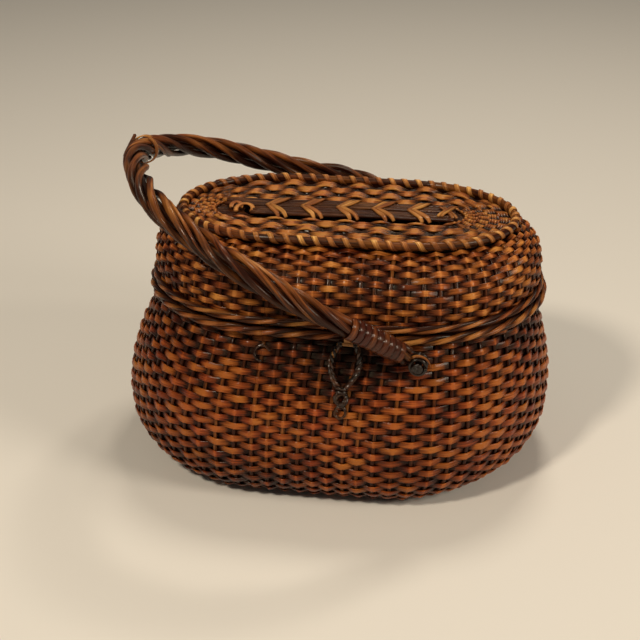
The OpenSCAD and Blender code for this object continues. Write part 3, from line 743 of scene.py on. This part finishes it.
def arrow_arm(apex, side, shift):
    """One splint of an arrow, from its point down over the edge of a slat."""
    s = np.linspace(0, 1, 15)
    x = apex + 0.6 * shift + (ARROW_LENGTH + 0.4 * shift) * s ** 0.85 + shift * (0.4 + 0.6 * s)
    y = side * (ARROW_REACH + dice.uniform(-0.8, 0.4)) * s
    z = PANEL_Z + 2.75 + 0.12 * shift - 2.6 * np.clip((s - 0.74) / 0.26, 0, 1) ** 2
    facing = np.stack([0 * s, -np.gradient(z) / np.gradient(y), 1 + 0 * s], -1)
    swell = 0.9 + 0.3 * np.sin(math.pi * s) ** 2 - 0.3 * s ** 4
    return Strand(on_top(np.stack([x, y, z], -1)), facing, lift=0.75, swell=swell)


def cross_arm(side, k):
    """One splint of the crossed tie."""
    s = np.linspace(-1, 1, 15)
    x = CROSS_X + CROSS_LEAN * s * side + CROSS_PITCH * k
    z = PANEL_Z + 2.8 + (0.7 if side > 0 else 0) - 1.2 * np.abs(s) ** 6
    return Strand(on_top(np.stack([x, CROSS_REACH * s, z], -1)), UP, lift=0.7)


def end_curl(x0, y0, reach, bow):
    """A splint end that arches over the slat and back."""
    s = np.radians(np.linspace(205, -25, 30))
    points = np.stack([x0 + reach * np.cos(s), y0 + bow * np.sin(s), PANEL_Z + 1.3 + 1.5 * np.sin(s)], -1)
    return Strand(on_top(points), UP, lift=0.8, swell=1.2)


lay_strands("top_weave", [top_row(k) for k in range(TOP_ROWS)], flat_section(0.75, 1.18, 0.8), top_cane,
            "lid", ["lid_top_panel"], closed=True)
lay_strands("top_ribs", [top_rib(i) for i in range(STATIONS)], flat_section(0.6, 1.7), stake_cane,
            "lid")
slat("slat_back", -80, 80, SLAT_Y, "lid_slat_back")
slat("slat_front", -60, 80, -SLAT_Y, "lid_slat_front")
first_apex = -TIE_PITCH * (TIE_COUNT - 1) / 2
arrows = [arrow_arm(first_apex + TIE_PITCH * i, side, shift)
          for i in range(TIE_COUNT) for side in (-1, 1) for shift in (-ARROW_SPREAD, ARROW_SPREAD)]
lay_strands("arrow_ties", arrows, flat_section(0.45, 1.9), light_cane, "lid",
            ["slat_ties"])
crossed = [cross_arm(side, k) for side in (-1, 1) for k in (0, 1)]
lay_strands("cross_tie", crossed, flat_section(0.45, 1.15), light_cane, "lid",
            ["slat_cross_tie"])
curls = [end_curl(-65, -7.0, 5.8, 6.5), end_curl(-71.5, -1.5, 3.4, 3.8)]
lay_strands("end_curls", curls, flat_section(0.45, 1.35), light_cane, "lid",
            ["slat_end_curl"])

# Handle

FOOT_X, FOOT_Z = PIVOT[0] - 7.3, PIVOT[2] + 5.3
HANDLE = np.array([
    [FOOT_X, -PIVOT[1], FOOT_Z], [38, -118.5, 134.5], [12, -131, 152.5], [-14, -133, 167], [-43, -131, 182.5],
    [-67, -119, 191.5], [-92, -105, 202.5], [-112, -81, 209], [-125, -51, 210], [-136, -18, 208],
    [-138, 14, 203], [-133, 47, 194.5], [-119, 78, 185], [-98, 101, 174], [-72, 114, 164], [-43, 121, 155.5],
    [-13, 128, 149], [14, 128, 142], [38, 121, 130], [FOOT_X, PIVOT[1], FOOT_Z]], float)
LAST = len(HANDLE) - 1
VINES, VINE_R, CORE_R, THIN_R = 5, 2.3, 3.2, 1.15
# Thin vines from one point of the handle to another, and cut ends with their angle and rise
RUNNERS = ((1.6, 6.4), (4.5, 11.5), (8.6, 15.0), (2.6, 9.8), (11.0, 17.2))
CUT_ENDS = ((8.75, 9.75, 1.9, 7.0), (10.2, 9.3, 2.6, 6.0), (9.0, 9.9, 4.4, 5.0))
BINDING_START, BINDING_R = 0.12, 7.1
CORNER_U, CORNER_R = 9.8, 9.3


def handle_at(u):
    """Point of the smooth line through the points of the handle."""
    u = np.asarray(u, float)
    i = np.minimum(np.floor(u).astype(int), LAST - 1)
    t = (u - i)[:, None]
    p1, p2 = HANDLE[i], HANDLE[i + 1]
    p0 = np.where((i > 0)[:, None], HANDLE[np.maximum(i - 1, 0)], 2 * p1 - p2)
    p3 = np.where((i < LAST - 1)[:, None], HANDLE[np.minimum(i + 2, LAST)], 2 * p2 - p1)
    return p1 + 0.5 * t * (p2 - p0 + t * (2 * p0 - 5 * p1 + 4 * p2 - p3 + t * (3 * p1 - p0 - 3 * p2 + p3)))


def handle_frame(u):
    """Two directions square to the handle."""
    u = np.asarray(u, float)
    t = unit(handle_at(np.minimum(u + 0.05, LAST)) - handle_at(np.maximum(u - 0.05, 0)))
    a = np.array([0.42, 0, 0.9])
    a = unit(a - t * (t @ a)[:, None])
    return a, np.cross(t, a)


def beside(u, w, r):
    """Points at angle w and distance r from the middle of the handle, and their outward directions."""
    a, b = handle_frame(u)
    w, r = np.asarray(w, float)[..., None], np.asarray(r, float)[..., None]
    aside = a * np.cos(w) + b * np.sin(w)
    return handle_at(u) + aside * r, aside


def bundle(u):
    """Distance of the vines from the middle: close under the bindings, wider between them."""
    t = np.clip((np.minimum(u, LAST - u) - 1.5) / 1.6, 0, 1)
    return BOUND_R + (BUNDLE_R - BOUND_R) * t * t * (3 - 2 * t)


def vine(k, u):
    """One of the vines, twisted round the core."""
    w = 2 * math.pi * (k / VINES + VINE_TURNS * u / LAST) + 0.12 * np.sin(u * 1.7 + k)
    line, aside = beside(u, w, bundle(u) + 0.25 * np.sin(u * 2.3 + 2 * k))
    thick = 1.0 + 0.05 * np.sin(u * 3.1 + k) + 0.03 * np.sin(u * 7.7 + 3 * k)
    # Upper side lighter, as worn and as a painted highlight, under side in painted shade
    return Strand(line, aside, lift=0.42 + 0.38 * aside[:, 2], swell=thick)


def core(u):
    """The vine in the middle, thinner under the bindings, with a low lift for painted shade."""
    swell = 0.55 + 0.45 * (bundle(u) - BOUND_R) / (BUNDLE_R - BOUND_R)
    return Strand(handle_at(u), handle_frame(u)[0], lift=0.1, swell=swell)


def runner(k, u0, u1):
    """A thin vine that lies on the bundle and dips into it at both ends."""
    u = np.linspace(u0, u1, 110)
    w = 2 * math.pi * (0.1 + k * 0.37 + VINE_TURNS * u / LAST)
    dip = 1.6 * np.clip(1 - np.minimum(u - u0, u1 - u) / 0.5, 0, 1)
    line, aside = beside(u, w, bundle(u) + 1.1 - dip)
    # Upper side lighter, as worn and as a painted highlight, under side in painted shade
    return Strand(line, aside, lift=0.6 + 0.35 * aside[:, 2])


def cut_end(u0, u1, w0, rise):
    """The end of a thin vine that stands off the bundle at the sharp turn."""
    grow = np.linspace(0, 1, 24)
    u = np.linspace(u0, u1, 24)
    line, aside = beside(u, w0 + 0.8 * grow, bundle(u) + 0.6 + rise * grow ** 2.5)
    return Strand(line, aside, lift=0.5, swell=1.5 - 0.4 * grow)


def binding(name, u0, way, node):
    """Splint wound round the end of the handle."""
    first = handle_at([u0 + way])[0] - handle_at([u0])[0]
    step = way * BIND_PITCH / float(np.linalg.norm(first))
    turn = np.arange(BIND_TURNS * 20 + 1) / 20
    radius = BINDING_R - 1.3 * np.clip(1 - turn / 2.5, 0, 1) + 0.12 * np.sin(5.1 * turn)
    line, aside = beside(u0 + step * turn, 2 * math.pi * turn, radius)
    strand = Strand(line, aside, lift=0.4 + 0.2 * np.sin(turn * 2.2))
    lay_strands(name, [strand], flat_section(0.5, 2.36), splint_red, "handle", [node])


def corner_turn(j):
    """One turn of the thin tie at the sharp turn."""
    s = np.linspace(0, 1, 40)
    line, aside = beside(CORNER_U + 0.14 * s + 0.1 * j, 2 * math.pi * s, CORNER_R + 0 * s)
    return Strand(line, aside, lift=0.7)


vine_u = np.linspace(0, LAST, 12 * LAST + 1)
for k in range(VINES):
    lay_strands(f"vine_{k + 1}", [vine(k, vine_u)], round_section(VINE_R, 12), vine_bark,
                "handle", [f"handle_vine_{k + 1}"])
lay_strands("vine_core", [core(vine_u)], round_section(CORE_R, 10), vine_bark, "handle",
            ["handle_core"])
thin_vines = [runner(k, u0, u1) for k, (u0, u1) in enumerate(RUNNERS)]
thin_vines += [cut_end(u0, u1, w0, rise) for u0, u1, w0, rise in CUT_ENDS]
lay_strands("thin_vines", thin_vines, round_section(THIN_R), vine_bark, "handle")
binding("binding_right", BINDING_START, 1, "binding_front")
binding("binding_hidden", LAST - BINDING_START, -1, "binding_back")
lay_strands("corner_wrap", [corner_turn(j) for j in range(2)], flat_section(0.55, 0.95), light_cane,
            "handle", ["corner_tie"])

# Pivots, on the front side (-1) and the back side (1)

COIL_TURNS, COIL_R, COIL_PITCH, COIL_HALF = 5, 4.95, 2.04, 5.1
HEAD_TURNS, HEAD_R = 2.6, 2.6


def round_pivot(turns, radius, y):
    """Path round the pivot, and its outward directions."""
    c, s = circle(turns)
    line = np.stack([PIVOT[0] + radius * c, y + 0 * c, PIVOT[2] + radius * s], -1)
    return line, np.stack([c, 0 * c, s], -1)


def eye_coil(name, side, node):
    """Turns of dark cane round the pivot, near black as painted shade round it."""
    turns = np.linspace(0, COIL_TURNS, 91)
    line, facing = round_pivot(turns, COIL_R, side * (PIVOT[1] - COIL_HALF + turns * COIL_PITCH))
    lay_strands(name, [Strand(line, facing, lift=0.4)], round_section(1.25, 10), dark_cane,
                "handle", [node])


def splint_end(name, side):
    """Loose end of the binding splint, bent round the eye."""
    radius = 6.9 + 0.9 * np.linspace(0, 1, 26) ** 2
    line, facing = round_pivot(np.linspace(122, 2, 26) / 360, radius, side * (PIVOT[1] + 2.5))
    strand = Strand(line, facing, lift=0.8, swell=np.linspace(1.1, 0.5, 26))
    lay_strands(name, [strand], flat_section(0.5, 1.7), light_cane, "handle")


def cane_peg(name, side, node):
    """Pivot of wound cane with a coiled head, as long as its CAD node, near black as painted shade round the
    pivot.
    """
    cad_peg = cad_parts[node]
    reach = [side * (cad_peg.matrix_world @ Vector(c)).y * PER_METRE for c in cad_peg.bound_box]
    y = np.linspace(min(reach), max(reach) - 2.8, 14)
    stem = Strand(np.stack([PIVOT[0] + 0 * y, side * y, PIVOT[2] + 0 * y], -1), UP, swell=2.2)
    share = np.linspace(0, 1, 70)
    line, _ = round_pivot(HEAD_TURNS * share, 0.4 + HEAD_R * share, side * (max(reach) - 1.15 - 0.5 * share))
    head = Strand(line, (0, side, 0), lift=0.5)
    lay_strands(name, [stem, head], round_section(1.1, 10), dark_cane, "basket", [node])


eye_coil("eye_turns_front", -1, "handle_eye_front")
eye_coil("eye_turns_back", 1, "handle_eye_back")
splint_end("splint_end_front", -1)
splint_end("splint_end_back", 1)
cane_peg("pivot_front", -1, "pivot_peg_front")
cane_peg("pivot_back", 1, "pivot_peg_back")

# Latch, in millimetres right of, behind and above its pin, before it leans

EYE_X, EYE_R, KNOT_X, KNOT_Z, NECK_Z, TAIL_Z = 5, 1.6, -3, -35.6, -28.4, -44.4
LOOP_TURNS, LOOP_R = 5.5, 1.05


def hang(x, y, z):
    """Points of the latch, in its leaning plane."""
    c, s = math.cos(-LATCH_LEAN), math.sin(-LATCH_LEAN)
    return np.stack([LATCH_X + x, LATCH_Y + c * y - s * z, LATCH_Z + s * y + c * z], -1)


def drop(t):
    """Outline of the hanging loop: down its left side, up its right side."""
    left = [np.array(q, float) for q in ((-EYE_X, -0.5), (-13.2, -10), (-8.4, -22.3), (0, -LATCH_LEN))]
    right = [q * (-1, 1) for q in reversed(left)]
    out = np.array([bezier(left, 2 * v) if v < 0.5 else bezier(right, 2 * v - 1) for v in t])
    return out[:, 0] + 3 * out[:, 1] / LATCH_LEN, out[:, 1]


def loop_strand(k):
    """One of three twisted strands of the loop."""
    s = np.linspace(0, 1, 90)
    x, z = drop(s)
    aside, behind = circle(LOOP_TURNS * s + k / 3, LOOP_R)
    return Strand(hang(x + aside, behind, z), FRONT, lift=0.25 + 0.3 * k)


def latch_eye(x):
    """Wire turns round the pin."""
    turns = np.linspace(0, 5, 91)
    behind, above = circle(turns, EYE_R)
    points = hang(x - 1.4 + 0.56 * turns, behind, above)
    return Strand(points, unit(points - hang(x, 0, 0)), lift=0.4)


def knot_turns():
    """Three tilted loops, and two turns round the neck above them."""
    g = np.linspace(0, 2 * math.pi, 30)[:-1]
    lines = []
    for k in range(3):
        x = KNOT_X + (2.6 + 0.7 * k) * np.cos(g + k)
        lines.append(hang(x, 1.3 * np.sin(2 * g + 2 * k), KNOT_Z + (3.0 + 0.5 * k) * np.sin(g + k)))
    for k in range(3, 5):
        level = NECK_Z - 2.1 * (k - 3)
        lines.append(hang(KNOT_X + 3.0 * np.cos(g), 2.2 * np.sin(g), level + 0.5 * np.cos(g + k)))
    return [Strand(line, FRONT, lift=0.1 + 0.08 * k) for k, line in enumerate(lines)]


def tail_loop():
    """The small loop below the knot."""
    g = np.linspace(0, 2 * math.pi, 34)[:-1]
    line = hang(KNOT_X + 3.4 * np.cos(g), 0.5 * np.cos(g), TAIL_Z + 3.9 * np.sin(g))
    return Strand(line, FRONT, lift=0.3)


def thread():
    """Light thread wound round the loop below its left eye."""
    x, z = drop(np.linspace(0.04, 0.13, 120))
    aside, behind = circle(np.linspace(0, 7, 120), 1.45)
    points = hang(x + aside, behind, z)
    return Strand(points, unit(points - hang(x, 0 * x, z)), lift=0.9)


lay_strands("latch_strands", [loop_strand(k) for k in range(3)], round_section(1.12), dark_cane,
            "latch", ["latch_loop"])
lay_strands("latch_turns", [latch_eye(-EYE_X), latch_eye(EYE_X)], round_section(0.4, 6), dark_cane,
            "latch", ["latch_eyes"])
lay_strands("latch_knot_turns", knot_turns(), round_section(1.3), dark_cane, "latch",
            ["latch_knot"], closed=True)
lay_strands("latch_tail_loop", [tail_loop()], round_section(0.95), dark_cane, "latch",
            ["latch_tail"], closed=True)
lay_strands("latch_thread", [thread()], round_section(0.35, 6), light_cane, "latch")

# Hook on the front of the body, parallel to the wall behind it


def hook():
    """Most of a ring that stands off the wall."""
    x, z, radius, stand, wall_lean = -34, 107.5, 5, 1.3, math.radians(28)
    close = 1 - math.cos(math.radians(90 * (z - BELLY_Z) / (MOUTH_Z - BELLY_Z)))
    y = -(BELLY_B - (BELLY_B - MOUTH_B) * close) - stand
    g = np.linspace(math.radians(20), math.radians(270), 40)
    rise = radius * np.sin(g)
    y, z = y + rise * math.sin(wall_lean), z + rise * math.cos(wall_lean)
    return Strand(np.stack([x + radius * np.cos(g), y, z], -1), FRONT, lift=0.8)


lay_strands("front_hook", [hook()], round_section(0.95), dark_cane, "basket",
            ["side_loop"])

# Solids that stay, with their finishes

KEPT = {"base_sticks": solid_stick, "hinge_lugs": solid_dark, "hinge_straps": solid_dark,
        "hinge_rods": solid_light, "latch_anchor": solid_light}
for node, finish in KEPT.items():
    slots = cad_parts[node].data.materials
    slots.clear()
    slots.append(finish)

# Floor, light and camera

WORLD_COLOUR, WORLD_POWER = (1.0, 0.93, 0.82, 1), 0.11
FLOOR_COLOUR, FLOOR_ROUGH, FLOOR_SIZE, FLOOR_DROP = (0.76, 0.735, 0.69, 1), 0.9, 14, 0.0002
SENSOR_WIDTH, FOCAL_PIXELS, PICTURE_PIXELS = 36, 1435, 640
CAMERA_PLACE, CAMERA_AIM = (0.1387, -0.9112, 0.5271), (-0.0122, 0, 0.0866)


def facing_turn(place, aim):
    """Turn of a lamp or camera at place that looks at aim."""
    return (Vector(aim) - Vector(place)).to_track_quat("-Z", "Y").to_euler()


def lay_floor():
    bpy.ops.mesh.primitive_plane_add(size=FLOOR_SIZE, location=(0, 3, -FLOOR_DROP))
    floor = bpy.context.object
    floor.name = "floor"
    paint = bpy.data.materials.new("pale_floor")
    paint.use_nodes = True
    shader = paint.node_tree.nodes["Principled BSDF"]
    shader.inputs["Base Color"].default_value = FLOOR_COLOUR
    shader.inputs["Roughness"].default_value = FLOOR_ROUGH
    floor.data.materials.append(paint)


def light_world():
    world = bpy.data.worlds.new("studio")
    bpy.context.scene.world = world
    world.use_nodes = True
    background = world.node_tree.nodes["Background"]
    background.inputs["Color"].default_value = WORLD_COLOUR
    background.inputs["Strength"].default_value = WORLD_POWER


def soft_light(name, place, aim, size, power, colour):
    lamp = bpy.data.lights.new(name, "AREA")
    lamp.shape = "DISK"
    lamp.size = size
    lamp.energy = power
    lamp.color = colour
    holder = bpy.data.objects.new(name, lamp)
    holder.location = place
    holder.rotation_euler = facing_turn(place, aim)
    link_object(holder)


def set_camera():
    lens = bpy.data.cameras.new("camera")
    lens.sensor_width = SENSOR_WIDTH
    lens.lens = FOCAL_PIXELS / PICTURE_PIXELS * SENSOR_WIDTH
    lens.clip_start = 0.01
    camera = bpy.data.objects.new("camera", lens)
    camera.location = CAMERA_PLACE
    camera.rotation_euler = facing_turn(CAMERA_PLACE, CAMERA_AIM)
    link_object(camera)
    bpy.context.scene.camera = camera
    bpy.context.scene.view_settings.view_transform = "Standard"


lay_floor()
light_world()
soft_light("key", (-0.55, -1.1, 1.35), (0, 0, 0.1), 0.24, 16, (1.0, 0.87, 0.69))
soft_light("fill", (1.4, -0.6, 0.9), (0, 0, 0.1), 0.6, 14, (1.0, 0.88, 0.72))
soft_light("top", (0.1, 0.7, 1.6), (0, 0, 0.12), 0.4, 10, (1.0, 0.89, 0.73))
set_camera()
